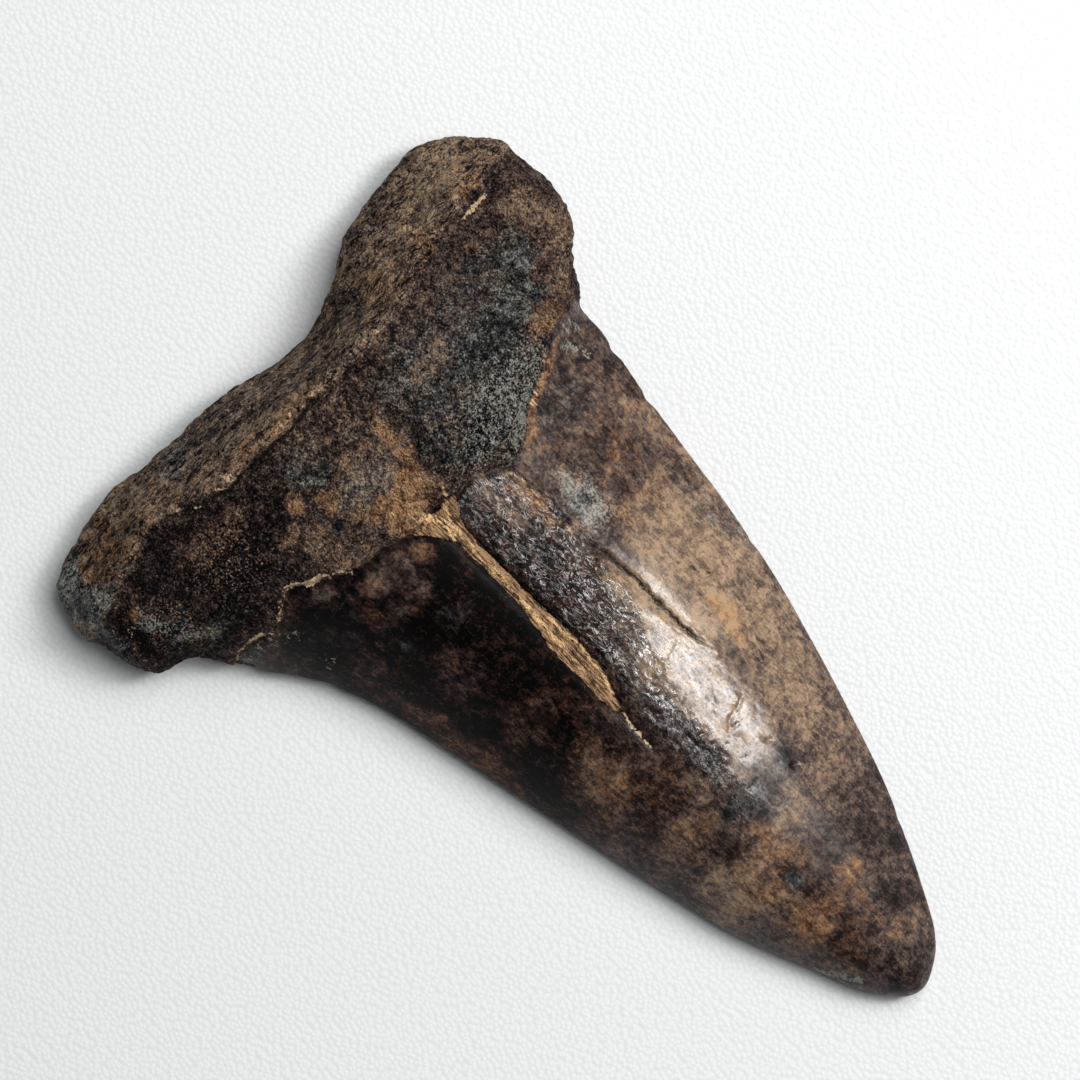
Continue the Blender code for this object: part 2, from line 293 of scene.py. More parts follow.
def wrinkles(ground):
    """Ridges that wind along the rough band, and a few shallow scratches and pits in the polish below it."""
    winding = ground.points.copy()
    winding[:, :2] += 0.35 * ground.wander + 0.2 * ground.shiver
    long_ridges = 1.0 - 2.4 * np.abs(waves(winding, (0.42, 1.5, 2.0), 31.0))
    short_ridges = 1.0 - 2.4 * np.abs(waves(winding, (0.27, 0.5, 1.0), 37.0))
    uneven = (0.7 + 0.7 * waves(ground.points, 1.3, 39.0)) * (1.0 - 0.45 * smoothstep(-ground.y, 0.0, 8.0))
    calm = 1.0 - 0.75 * patch(ground.flat + 0.5 * ground.wander, 5.0, 11.0, 1.3, 3.2)
    pits = np.clip(waves(ground.points, (0.3, 0.5, 0.4), 41.0) - 0.25, 0.0, 1.0)
    worn = bump(np.hypot(ground.x - 4.5, 0.5 * (ground.y + 9.0)), 3.5) * ground.inner
    scratches = sum(depth * bump(off(line, ground.flat + 0.1 * ground.shiver), 0.08)
                    for line, depth in SCRATCHES)
    ridges = LONG_RIDGES * long_ridges + SHORT_RIDGES * short_ridges
    return ground.band * uneven * calm * ridges - POLISH_PITS * pits * (worn + 0.4 * ground.band) - scratches


def bone_texture(ground):
    """The root's lumps and pores, and the wavy layers that lie open on its base."""
    lumps = LARGE_LUMPS * waves(ground.points, 2.4, 43.0) + SMALL_LUMPS * waves(ground.points, 0.95, 47.0)
    grains = BONE_GRAINS * waves(ground.points, 0.45, 53.0)
    pores = -BONE_PORES * np.clip(waves(ground.points, 0.7, 59.0) - 0.25, 0.0, 1.0)
    level = ground.behind + 0.35 * waves(ground.points, 3.5, 61.0)
    layered = np.column_stack([ground.x / 1.9, level / 0.55, ground.z / 0.9]) + 0.35 * ground.wander[:, :1]
    layers = BASE_LAYERS * (1.0 - 2.2 * np.abs(waves(layered, 1.0, 67.0)))
    from_furrow = off(LOBE_FURROW, ground.flat + 0.5 * ground.wander)
    furrow = -LOBE_FURROW_DEPTH * bump(from_furrow, 0.6) * ground.inner
    return ground.root * (lumps + grains + pores + furrow + ground.base * (layers - 0.5 * grains))


def polish(ground):
    """The crown is smooth, but not quite even."""
    swell = CROWN_SWELL * waves(ground.points, (2.2, 5.0, 4.0), 71.0)
    grain = CROWN_GRAIN * waves(ground.points, (0.5, 1.4, 1.0), 73.0)
    return (1.0 - ground.root) * (swell + grain)


# Each is x, y, reach and depth.
CHIPS = [(-15.6, 15.3, 0.8, 0.35), (18.3, 16.6, 0.7, 0.3), (17.7, 13.2, 0.6, 0.22), (16.9, 9.2, 0.5, 0.15),
         (6.1, 3.2, 0.45, 0.15), (-12.5, 10.6, 0.6, 0.15), (14.9, -2.6, 0.5, 0.1), (8.9, -23.2, 0.5, 0.1)]


def chips(ground):
    """Small bites out of the edges and the polish."""
    return -sum(depth * bump(np.hypot(ground.x - x, ground.y - y), reach) for x, y, reach, depth in CHIPS)


def fine_tooth():
    """The finely shaped tooth, in the drawing's millimetres, and what each of its points is."""
    mesh = evened(merged_copy("shark_tooth"))
    points, outward = positions(mesh), normals(mesh)
    ground = Ground(points, outward)
    raised = (ledges(ground) + cracks(ground) + wrinkles(ground) + bone_texture(ground) + polish(ground)
              + chips(ground))
    clear = smoothstep(points[:, 2], *CLEAR_OF_FLOOR)
    shaped = points + outward * (raised * clear)[:, None]
    shaped[:, 2] = np.maximum(shaped[:, 2], 0.0)
    place(mesh, shaped)
    mesh = thinned(mesh)
    return mesh, Ground(positions(mesh), normals(mesh))


# Stains

# Tone, warmth and greyness where no dab lies.
CROWN_STAIN = (0.34, 0.25, 0.0)
ROOT_STAIN = (0.3, 0.2, 0.2)
BASE_STAIN = (0.52, 0.2, 0.25)
OUTER_STAIN = (0.34, 0.3, 0.1)

# Each dab is x, y, half width, half length, turn, tone, warmth, greyness. Later dabs lie over earlier ones.
CROWN_DABS = [
    (-5.0, 6.0, 9.5, 13.0, 0, -0.03, 0.9, 0.0),
    (-7.0, 12.5, 6.0, 3.5, 0, 0.02, 0.3, 0.3),
    (-4.4, 13.4, 2.4, 0.8, 0, 0.42, 0.5, 0.0),
    (-1.2, 12.8, 0.9, 1.1, 0, 0.44, 0.8, 0.0),
    (-8.2, 15.2, 1.0, 0.7, 0, 0.34, 0.3, 0.0),
    (-9.6, 9.6, 1.2, 1.6, 0, 0.2, 0.7, 0.0),
    (-7.0, 12.4, 1.0, 1.0, 0, 0.12, 1.0, 0.0),
    (-3.2, 12.2, 1.6, 1.8, 0, 0.36, 0.2, 0.0),
    (-2.6, 12.3, 0.5, 0.6, 0, 0.62, 0.4, 0.0),
    (-5.2, 10.6, 2.6, 1.0, 0, 0.2, 0.5, 0.0),
    (-6.7, 9.3, 0.45, 0.5, 0, 0.55, 0.0, 0.6),
    (-6.4, 8.4, 0.6, 0.7, 0, 0.2, 0.0, 1.0),
    (-2.6, 8.0, 2.0, 0.8, 0, 0.2, 0.0, 0.5),
    (-5.5, 5.0, 2.2, 2.4, 0, 0.16, 0.5, 0.0),
    (-8.7, 1.0, 0.9, 5.4, 8, 0.3, 1.0, 0.0),
    (-9.6, 5.6, 0.7, 2.6, 8, 0.26, 0.7, 0.0),
    (-4.0, -0.6, 2.4, 1.6, 0, 0.22, 0.6, 0.0),
    (-6.0, -4.6, 1.9, 2.6, 0, 0.09, 0.4, 0.1),
    (-3.6, -6.6, 2.2, 2.8, 0, 0.45, 0.6, 0.0),
    (-1.0, -4.6, 1.2, 2.5, 0, 0.26, 0.4, 0.0),
    (-5.4, -8.8, 1.0, 1.6, 0, 0.34, 0.6, 0.0),
    (-4.4, -11.6, 1.8, 1.4, 0, 0.3, 0.5, 0.1),
    (-1.0, -10.0, 2.6, 2.0, 0, 0.27, 0.6, 0.0),
    (-1.8, -13.8, 2.8, 1.4, 0, 0.5, 0.5, 0.0),
    (1.0, -11.6, 1.1, 1.3, 0, 0.5, 0.3, 0.0),
    (1.0, -14.2, 0.9, 0.8, 0, 0.26, 0.0, 0.6),
    (-1.4, -16.2, 1.1, 0.8, 0, 0.3, 0.2, 0.1),
    (-2.4, -18.8, 2.6, 2.4, 0, 0.6, 0.4, 0.0),
    (-3.2, -17.8, 1.0, 1.2, 0, 0.62, 0.1, 0.2),
    (-0.9, -20.2, 1.3, 1.1, 0, 0.62, 0.5, 0.0),
    (-3.4, -21.8, 1.8, 1.2, 0, 0.42, 0.1, 0.3),
    (1.8, -18.0, 2.0, 2.6, 0, 0.55, 0.65, 0.0),
    (0.9, -20.8, 0.6, 0.6, 0, 0.44, 0.0, 0.8),
    (4.6, -17.6, 2.8, 2.0, 0, 0.58, 0.25, 0.0),
    (6.4, -20.0, 3.0, 2.6, 0, 0.42, 0.15, 0.0),
    (4.4, -21.0, 1.6, 1.4, 0, 0.34, 0.0, 0.2),
    (0.2, -23.6, 2.8, 1.6, 0, 0.48, 0.75, 0.0),
    (-0.2, -24.6, 0.7, 1.4, 0, 0.58, 0.8, 0.0),
    (4.0, -23.2, 1.3, 1.0, 0, 0.56, 0.8, 0.0),
    (3.0, -24.8, 0.8, 0.8, 0, 0.5, 0.7, 0.0),
    (7.0, -23.0, 2.0, 2.2, 0, 0.33, 0.1, 0.1),
    (1.2, -27.0, 3.4, 1.6, 0, 0.35, 0.6, 0.0),
    (4.6, -26.4, 1.6, 1.6, 0, 0.31, 0.1, 0.25),
    (3.4, -30.0, 2.8, 2.6, 0, 0.38, 0.15, 0.0),
    (3.6, -28.0, 1.2, 0.9, 0, 0.52, 0.5, 0.0),
    (5.6, -28.2, 0.8, 1.0, 0, 0.42, 0.5, 0.0),
    (0.4, -30.0, 1.2, 1.2, 0, 0.26, 0.2, 0.0),
    (1.4, -31.6, 1.6, 1.0, 0, 0.35, 0.3, 0.1),
    (12.0, 9.6, 4.8, 6.0, 0, 0.43, 0.45, 0.0),
    (12.4, 13.0, 2.6, 1.8, 0, 0.38, 0.1, 0.4),
    (10.6, 8.0, 1.4, 2.0, 0, 0.36, 0.2, 0.1),
    (12.6, 7.6, 2.2, 0.9, 0, 0.5, 0.6, 0.0),
    (14.8, 9.8, 1.2, 2.2, 0, 0.46, 0.3, 0.0),
    (13.8, 5.6, 1.5, 1.4, 0, 0.36, 0.1, 0.1),
    (15.9, 6.4, 0.8, 5.0, 4, 0.62, 0.35, 0.0),
    (4.6, 11.4, 0.8, 2.4, 0, 0.5, 0.3, 0.0),
    (6.2, 9.6, 0.5, 3.0, 0, 0.5, 0.7, 0.0),
    (8.6, 11.5, 0.9, 2.6, 0, 0.5, 0.0, 0.1),
    (9.7, 13.2, 1.5, 0.4, 42, 0.56, 0.9, 0.0),
    (13.0, 15.3, 3.0, 0.4, 24, 0.52, 0.9, 0.0),
    (8.7, 7.2, 1.5, 2.2, 10, 0.62, 0.0, 0.7),
    (8.6, 9.0, 0.8, 1.2, 0, 0.6, 0.0, 0.7),
    (11.2, 3.6, 3.2, 1.6, 0, 0.52, 0.3, 0.0),
    (11.9, 4.8, 2.6, 0.9, 0, 0.62, 0.55, 0.0),
    (12.8, -0.6, 4.4, 4.4, 0, 0.76, 0.15, 0.0),
    (9.8, 1.8, 1.5, 2.0, 0, 0.78, 0.0, 0.25),
    (14.6, 0.0, 1.1, 4.0, 6, 0.62, 0.0, 0.35),
    (10.2, -5.4, 1.4, 2.6, 0, 0.86, 0.75, 0.0),
    (12.4, -6.8, 2.0, 3.2, 0, 0.68, 0.15, 0.0),
    (9.8, -12.0, 2.8, 4.4, 0, 0.7, 0.1, 0.0),
    (11.6, -13.4, 0.8, 3.4, -18, 0.54, 0.0, 0.2),
    (8.6, -17.4, 2.4, 1.8, 0, 0.54, 0.15, 0.0),
    (5.4, -8.0, 3.0, 7.0, 0, 0.68, 0.1, 0.0),
    (2.2, -9.0, 1.1, 5.0, 0, 0.24, 0.0, 0.1),
    # These two pale dabs beside the fine crack are a painted highlight, carrying the polish's reflection up
    # past the crack.
    (8.7, -2.8, 0.9, 4.0, 0, 0.8, 0.0, 0.2),
    (7.2, -1.0, 1.5, 4.4, 0, 0.8, 0.0, 0.15),
    (3.2, -15.0, 2.0, 1.4, 0, 0.38, 0.0, 0.6),
    (6.2, -14.4, 0.9, 0.8, 0, 0.2, 0.1, 0.1),
]
ROOT_DABS = [
    (-12.0, 21.0, 9.0, 5.0, 0, 0.14, 0.15, 0.15),
    # A near-black dab in the lobe's furrow: painted shadow.
    (-19.0, 22.6, 0.7, 2.4, 0, 0.02, 0.0, 0.1),
    # The next four grey dabs on the left lobe are painted sheen and painted reflection.
    (-20.6, 23.0, 0.8, 2.6, 0, 0.24, 0.0, 0.8),
    (-17.6, 22.4, 0.7, 1.5, 10, 0.4, 0.0, 0.8),
    (-16.6, 20.6, 0.8, 1.0, 0, 0.36, 0.0, 0.7),
    (-15.6, 19.2, 2.2, 0.6, -28, 0.42, 0.0, 0.6),
    (-18.2, 23.4, 0.6, 0.5, 0, 0.44, 0.9, 0.0),
    (-11.0, 23.2, 3.4, 1.4, 0, 0.34, 0.4, 0.1),
    (-8.0, 18.6, 3.0, 1.8, 0, 0.15, 0.1, 0.1),
    (-5.0, 17.6, 2.6, 2.4, 0, 0.42, 0.3, 0.1),
    (-7.6, 15.4, 1.0, 1.2, 0, 0.36, 0.3, 0.0),
    (-5.0, 15.2, 1.6, 1.2, 0, 0.5, 0.3, 0.1),
    (-2.8, 21.8, 1.6, 1.8, 0, 0.36, 0.0, 0.7),
    (-5.0, 20.8, 0.9, 0.7, 20, 0.6, 0.7, 0.0),
    (-6.8, 19.7, 0.9, 0.5, 0, 0.6, 0.7, 0.0),
    (-3.1, 19.4, 1.1, 0.8, 0, 0.6, 0.8, 0.0),
    (-4.0, 18.0, 0.6, 0.6, 0, 0.16, 0.0, 0.8),
    (0.2, 16.4, 2.4, 2.6, 0, 0.66, 0.9, 0.1),
    (-0.6, 18.6, 2.4, 1.4, 0, 0.56, 0.1, 0.4),
    (2.6, 19.4, 0.6, 2.4, 5, 0.66, 0.8, 0.0),
    (0.0, 20.2, 2.4, 0.7, 0, 0.5, 0.35, 0.1),
    (1.2, 21.0, 0.6, 0.4, 0, 0.5, 0.7, 0.0),
    (0.2, 22.6, 3.4, 1.2, 0, 0.36, 0.1, 0.3),
    (7.0, 20.4, 3.6, 3.4, 0, 0.42, 0.0, 0.6),
    (8.2, 21.2, 1.8, 0.9, 0, 0.5, 0.2, 0.3),
    (14.4, 21.2, 4.4, 3.2, 0, 0.34, 0.0, 0.8),
    (10.4, 14.7, 1.6, 0.35, 42, 0.54, 0.9, 0.0),
    (13.0, 22.6, 3.0, 1.4, 0, 0.4, 0.0, 0.5),
    (12.0, 19.2, 3.4, 1.2, 0, 0.28, 0.0, 0.85),
    (9.6, 15.8, 5.4, 2.2, 12, 0.4, 0.0, 0.75),
    (4.4, 16.2, 1.4, 2.4, 0, 0.32, 0.0, 0.6),
    (20.4, 23.4, 1.5, 3.6, 0, 0.5, 0.35, 0.0),
    (18.0, 20.0, 1.4, 1.4, 0, 0.42, 0.3, 0.2),
    (15.6, 17.8, 1.8, 1.2, 20, 0.52, 0.6, 0.1),
    (17.6, 18.2, 0.8, 0.8, 0, 0.4, 0.4, 0.1),
]
BASE_DABS = [
    (-13.0, 28.0, 9.0, 2.6, 0, 0.56, 0.35, 0.25),
    # This grey dab on the base's left end is painted sheen.
    (-19.6, 27.0, 1.8, 3.0, 0, 0.48, 0.0, 0.9),
    (-15.6, 28.2, 0.6, 1.4, 0, 0.48, 0.95, 0.0),
    (-14.4, 27.2, 1.8, 0.6, -14, 0.56, 0.5, 0.1),
    (-11.0, 27.2, 4.0, 1.0, -8, 0.6, 0.4, 0.1),
    (-8.0, 28.6, 2.4, 1.0, 0, 0.42, 0.0, 0.7),
    (0.0, 27.6, 9.0, 2.2, 0, 0.48, 0.2, 0.3),
    (-3.0, 25.6, 5.2, 0.7, 0, 0.6, 0.55, 0.0),
    (10.0, 27.6, 4.0, 2.4, 0, 0.52, 0.25, 0.15),
    (16.5, 29.4, 5.4, 2.6, 0, 0.64, 0.15, 0.25),
    (19.6, 27.0, 2.4, 3.0, 0, 0.6, 0.35, 0.05),
    (14.4, 26.6, 2.4, 1.0, 0, 0.42, 0.6, 0.0),
    (6.0, 28.6, 2.6, 1.0, 0, 0.42, 0.2, 0.2),
    (-5.4, 28.8, 2.2, 0.8, 0, 0.4, 0.1, 0.4),
    (12.6, 30.6, 1.8, 0.8, 0, 0.5, 0.1, 0.3),
    (9.0, 27.4, 1.2, 1.4, 30, 0.64, 0.5, 0.0),
    (-17.4, 27.6, 1.6, 1.4, 0, 0.52, 0.55, 0.0),
    (13.4, 28.6, 0.5, 1.2, 0, 0.72, 0.6, 0.0),
    (18.0, 27.3, 1.4, 0.5, 0, 0.56, 0.85, 0.0),
]
OUTER_DABS = [
    (3.0, -6.0, 8.0, 22.0, 0, 0.4, 0.3, 0.0),
    (6.0, 4.0, 6.0, 8.0, 0, 0.5, 0.3, 0.1),
    (-5.0, 8.0, 5.0, 7.0, 0, 0.2, 0.3, 0.1),
    (0.0, -14.0, 3.0, 6.0, 10, 0.55, 0.4, 0.0),
    (4.0, -24.0, 3.0, 5.0, 0, 0.26, 0.4, 0.0),
    (9.0, 22.0, 9.0, 5.0, 0, 0.3, 0.1, 0.5),
    (-12.0, 24.0, 8.0, 5.0, 0, 0.22, 0.2, 0.3),
    (0.0, 21.0, 5.0, 3.0, 0, 0.42, 0.5, 0.1),
]

# Each is x, y, half width and half length.
DARK_SPOTS = [
    (9.7, -8.6, 0.35, 0.45), (10.5, -8.0, 0.28, 0.42), (10.9, -1.1, 0.22, 0.3), (11.3, -1.9, 0.2, 0.3),
    (-4.4, -11.6, 0.6, 0.5), (-5.9, -9.0, 0.4, 0.4), (-1.3, -16.3, 0.6, 0.35), (0.6, -14.3, 0.4, 0.4),
    (6.4, -14.4, 0.6, 0.35), (5.9, -15.3, 0.4, 0.3), (1.2, -24.6, 0.4, 0.3), (1.5, -25.2, 0.3, 0.25),
    (0.4, -31.0, 0.4, 0.3), (7.3, -12.9, 0.35, 0.25), (8.6, -15.0, 0.3, 0.25), (2.3, -16.0, 0.7, 0.3),
    (-6.6, -4.4, 1.0, 1.2), (-3.4, -1.4, 0.7, 0.7), (7.4, -24.0, 0.6, 0.6), (4.4, -26.6, 0.5, 0.4),
    (-0.2, -28.3, 0.4, 0.4), (1.2, -28.5, 0.5, 0.3), (5.2, -7.9, 0.2, 0.25), (4.8, -9.0, 0.15, 0.2),
]

# Pale crust, greenish deposit and golden clay in seams and cracks, and one pale line that is a painted
# highlight on the hairline's lit wall. Each is a line, a width and a strength.
CRUST_AND_GLINT_LINES = [
    ([(-15.5, 16.4), (-14.4, 16.7), (-13.2, 16.4), (-12.3, 15.9)], 0.13, 0.7),
    ([(-13.6, 16.5), (-12.9, 16.3)], 0.16, 1.0),
    ([(-11.6, 16.2), (-11.0, 16.6), (-10.2, 17.1), (-9.4, 17.35)], 0.17, 0.55),
    ([(-9.4, 17.35), (-8.7, 16.9), (-8.0, 16.35)], 0.15, 0.75),
    ([(-8.4, 16.5), (-7.7, 16.3), (-7.0, 16.1)], 0.2, 1.0),
    ([(-7.0, 16.0), (-6.0, 15.6), (-5.6, 14.8)], 0.2, 0.5),
    ([(-12.5, 26.9), (-10.8, 26.1), (-9.6, 25.3)], 0.14, 0.6),
    ([(-8.2, 25.3), (-7.6, 24.9), (-6.6, 24.9), (-5.8, 25.1)], 0.13, 0.85),
    ([(-7.2, 25.6), (-6.9, 25.3)], 0.3, 0.7),
    ([(-2.0, 25.3), (1.0, 25.2), (4.0, 25.4), (7.0, 25.2)], 0.24, 0.35),
    ([(5.05, 27.05), (5.15, 27.2)], 0.13, 1.0),
    ([(13.3, 29.4), (13.4, 28.4), (13.5, 27.6)], 0.2, 0.6),
    ([(16.5, 26.55), (17.4, 26.6), (18.7, 26.65)], 0.16, 1.0),
    ([(-11.3, 12.4), (-10.9, 11.6), (-10.3, 11.9), (-9.9, 12.4)], 0.09, 0.6),
    ([(-11.6, 12.4), (-11.5, 11.4)], 0.08, 0.5),
    # Painted highlight on the hairline's lit wall, drawn in the crust's colour.
    ([(0.5, -4.5), (0.35, -5.6), (0.3, -6.4), (0.2, -7.5)], 0.11, 1.0),
    ([(5.9, 2.2), (5.8, 3.2), (6.2, 3.9), (6.6, 3.4)], 0.1, 0.5),
    ([(-19.4, 22.4), (-19.2, 23.0), (-18.7, 22.8)], 0.12, 0.5),
]
GREEN_LINES = [
    ([(14.0, 17.2), (12.5, 16.1), (11.2, 15.2), (10.0, 14.8)], 0.5, 0.35),
    ([(10.2, 14.7), (9.3, 13.9), (8.2, 13.2), (7.0, 12.9)], 0.55, 0.65),
    ([(16.2, 16.6), (17.0, 16.2)], 0.5, 0.45),
    ([(15.4, 15.7), (15.8, 14.9), (16.2, 14.4)], 0.5, 0.5),
    ([(-15.0, 15.9), (-13.6, 15.8), (-12.2, 15.3), (-11.4, 14.8)], 0.4, 0.4),
    ([(-2.8, -26.2), (-2.0, -27.4), (-1.0, -29.0)], 0.35, 0.8),
    ([(-17.6, 20.2), (-16.0, 19.4), (-14.2, 18.5)], 0.5, 0.3),
]
GOLD_LINES = [
    ([(-1.0, 15.8), (0.2, 14.6)], 0.9, 0.25),
    ([(0.4, 14.2), (1.0, 13.2), (1.1, 11.4)], 0.4, 0.7),
    ([(2.6, 14.6), (1.8, 13.4), (1.3, 12.2)], 0.3, 0.5),
    ([(0.9, 12.8), (1.0, 12.2), (1.6, 12.9)], 0.18, 1.0),
    ([(1.0, 4.2), (0.85, 2.6), (0.9, 1.6)], 0.22, 1.0),
    ([(1.5, 3.4), (1.6, 1.0), (1.4, -1.6), (0.9, -3.2)], 0.16, 0.85),
    ([(0.6, 1.0), (0.6, -2.4)], 0.3, 0.35),
    ([(1.15, 10.8), (1.2, 8.6), (1.05, 6.2), (0.95, 4.2)], 0.2, 0.7),
    ([(6.6, 12.4), (6.6, 9.8), (6.5, 7.4), (6.7, 6.0)], 0.5, 0.35),
    ([(15.0, 17.0), (13.0, 15.5), (10.5, 14.2), (9.0, 13.1)], 0.35, 0.3),
    ([(5.2, 13.0), (5.0, 10.4), (5.4, 8.6)], 0.8, 0.1),
]

# Where pale specks are strongest; the specks there are partly pale grains and partly painted glints and
# painted reflection. Each is x, y, half width, half length and turn.
SPARKLES = [(9.6, 15.9, 5.6, 2.2, 12), (-16.8, 21.4, 1.8, 2.4, 0), (-11.0, 21.0, 3.0, 2.6, 0),
            (8.8, 7.4, 1.6, 3.0, 0)]

# How much the crown shines, and patches that differ. Each is x, y, half width, half length, turn and shine.
EVEN_POLISH = 0.3
POLISHED_PATCHES = [
    (-6.0, 6.0, 12.0, 17.0, 0, 0.02),
    (12.5, 10.0, 5.5, 8.0, 0, 0.05),
    (4.6, 10.0, 2.4, 4.0, 0, 0.12),
    (12.5, 1.0, 4.4, 4.0, 0, 0.2),
    (12.5, -8.0, 3.4, 7.0, 0, 0.3),
    (2.0, -25.0, 8.0, 9.5, 0, 0.3),
    (8.3, -2.6, 1.6, 4.6, 0, 0.85),
    (5.9, -7.4, 2.9, 6.9, 0, 1.0),
    (3.4, -8.6, 1.8, 6.2, 0, 0.9),
    (-20.6, 26.0, 1.4, 3.4, 0, 0.35),
    (-16.9, 21.8, 1.4, 2.2, 0, 0.5),
]


def lines(flat, strokes):
    """The strength of drawn lines at each point."""
    drawn = np.zeros(len(flat))
    for line, width, strength in strokes:
        drawn = np.maximum(drawn, strength * (1.0 - smoothstep(off(line, flat), 0.3 * width, 1.4 * width)))
    return drawn


def dabbed(flat, base, dabs):
    """Lays dabs of tone, warmth and greyness over one another."""
    stain = np.tile(np.array(base, float), (len(flat), 1))
    for x, y, half_x, half_y, turn, *value in dabs:
        cover = patch(flat, x, y, half_x, half_y, turn)[:, None]
        stain += cover * (np.array(value) - stain)
    return stain


def stains(ground):
    """Tone, warmth and greyness over the tooth."""
    flat = ground.flat + 0.75 * ground.wander + 0.3 * ground.shiver
    crown = dabbed(flat, CROWN_STAIN, CROWN_DABS)
    bone = dabbed(flat, ROOT_STAIN, ROOT_DABS)
    base = dabbed(flat, BASE_STAIN, BASE_DABS)
    outer = dabbed(flat, OUTER_STAIN, OUTER_DABS)
    share = ground.base[:, None]
    bone = bone + share * (base - bone)
    both = crown + ground.root[:, None] * (bone - crown)
    return both + ground.outer[:, None] * (outer - both)


def paint_points(mesh, ground):
    """Stores what the material reads as one number per point."""
    near = ground.flat + 0.16 * ground.wander + 0.1 * ground.shiver
    tone, warmth, greyness = stains(ground).T
    spots = sum(patch(near, *spot) for spot in DARK_SPOTS) * ground.inner
    open_part = smoothstep(ground.y, -6.6, -4.0) * (1.0 - smoothstep(ground.y, 3.0, 7.0))
    sharp_crease = smoothstep(ground.x, -11.0, -8.0) * (1.0 - smoothstep(ground.x, 0.0, 4.0))
    # Painted shade: darkening in the open part of the fine crack and under the base's crease.
    dirt = np.maximum(bump(off(FINE_CRACK, near), 0.2) * open_part,
                      0.85 * bump(ground.behind + 0.2, 0.24) * sharp_crease)
    sparkle = sum(patch(ground.flat + ground.wander, *spot) for spot in SPARKLES) * ground.inner
    shine = EVEN_POLISH * (1.0 - ground.root)
    for *spot, value in POLISHED_PATCHES:
        shine += patch(ground.flat + ground.wander, *spot) * (value - shine)
    shine *= 1.0 - 0.95 * bump(off(FILL_LEFT, near), 0.4) * smoothstep(ground.y, -5.0, -4.0)
    values = {
        "sparkle": np.clip(sparkle, 0.0, 1.0),
        "shine": shine,
        "tone": tone,
        "warmth": warmth,
        "greyness": greyness,
        "spots": np.clip(spots, 0.0, 1.0),
        "root": ground.root,
        "base": ground.base * ground.root,
        "fill": ground.fill,
        "band": ground.band,
        "crust": lines(near, CRUST_AND_GLINT_LINES) * ground.inner,
        "green": lines(near, GREEN_LINES) * ground.inner,
        "gold": lines(near, GOLD_LINES) * ground.inner,
        "dirt": dirt * ground.inner,
    }
    for name, value in values.items():
        attribute = mesh.attributes.new(name, "FLOAT", "POINT")
        attribute.data.foreach_set("value", value.astype(np.float32))


# Materials

class Value:
    """A number that varies over a surface. Arithmetic on it adds Math nodes to its material."""

    def __init__(self, finish, socket):
        self.finish = finish
        self.socket = socket

    def math(self, operation, *others):
        terms = dict(enumerate((self, *others)))
        return self.finish.node("ShaderNodeMath", {"operation": operation}, terms)

    def __add__(self, other):
        return self.math("ADD", other)

    def __mul__(self, other):
        return self.math("MULTIPLY", other)

    def __sub__(self, other):
        return self.math("SUBTRACT", other)

    def __rsub__(self, other):
        return self.finish.node("ShaderNodeMath", {"operation": "SUBTRACT"}, {0: other, 1: self})

    __radd__ = __add__

    def top(self, other):
        return self.math("MAXIMUM", other)

    def size(self):
        return self.math("ABSOLUTE")

    def step(self, low, high):
        """0 below low and 1 above high, with a smooth rise between."""
        return self.finish.node("ShaderNodeMapRange", {"interpolation_type": "SMOOTHSTEP"},
                                {"Value": self, "From Min": low, "From Max": high})


class Finish:
    """A material and the nodes in it."""

    def __init__(self, name):
        self.material = bpy.data.materials.new(name)
        self.material.use_nodes = True
        self.tree = self.material.node_tree
        self.shader = self.tree.nodes["Principled BSDF"]
        self.place = self.node("ShaderNodeTexCoord", output="Object")

    def node(self, kind, settings=None, inputs=None, output=0):
        """Adds a node: its settings first, then its sockets' values or links. Returns one of its outputs."""
        made = self.tree.nodes.new(kind)
        for setting, value in (settings or {}).items():
            if setting == "stops":
                set_stops(made.color_ramp, value)
            else:
                setattr(made, setting, value)
        for key, value in (inputs or {}).items():
            self.feed(made.inputs[key], value)
        return Value(self, made.outputs[output])

    def feed(self, socket, value):
        if isinstance(value, Value):
            self.tree.links.new(value.socket, socket)
        else:
            socket.default_value = value

    def noise(self, span, detail, roughness, warp, seed):
        """Cloudy noise around 0, with features about as long as span, one number or one for each axis."""
        cloud = self.node("ShaderNodeTexNoise", {"noise_dimensions": "3D"},
                          {"Vector": self.scaled(span, seed), "Scale": 1.0, "Detail": detail,
                           "Roughness": roughness, "Distortion": warp})
        return (cloud - 0.5) * 2.0

    def pebbles(self, span):
        """Round grains about span millimetres apart: 0 in the middle of each, rising towards its rim."""
        return self.node("ShaderNodeTexVoronoi", {"voronoi_dimensions": "2D", "feature": "SMOOTH_F1"},
                         {"Vector": self.scaled(span, 0.0), "Scale": 1.0, "Smoothness": 0.6},
                         output="Distance")

    def scaled(self, span, seed):
        """Places on the piece counted in spans of so many millimetres, and moved by the seed."""
        spans = span if isinstance(span, tuple) else (span, span, span)
        return self.node("ShaderNodeMapping", {}, {"Vector": self.place, "Location": (seed, seed, seed),
                                                   "Scale": tuple(1 / (length * MM) for length in spans)})

    def relief(self, height, depth, inverted=False):
        """A bump's normal. The depth is in metres."""
        return self.node("ShaderNodeBump", {"invert": inverted},
                         {"Height": height, "Distance": depth, "Strength": 1.0}, output="Normal")

    def painted(self, name):
        """A number stored on the piece's points."""
        return self.node("ShaderNodeAttribute", {"attribute_name": name}, output="Fac")

    def mix(self, share, low, high):
        """A colour between two colours."""
        return self.node("ShaderNodeMix", {"data_type": "RGBA"}, {0: share, 6: low, 7: high}, output=2)

    def ramp(self, value, stops):
        """The colour of a scale of tones."""
        return self.node("ShaderNodeValToRGB", {"stops": stops}, {"Fac": value}, output="Color")


def set_stops(scale, stops):
    while len(scale.elements) < len(stops):
        scale.elements.new(1.0)
    for element, (position, colour) in zip(scale.elements, stops):
        element.position = position
        element.color = colour
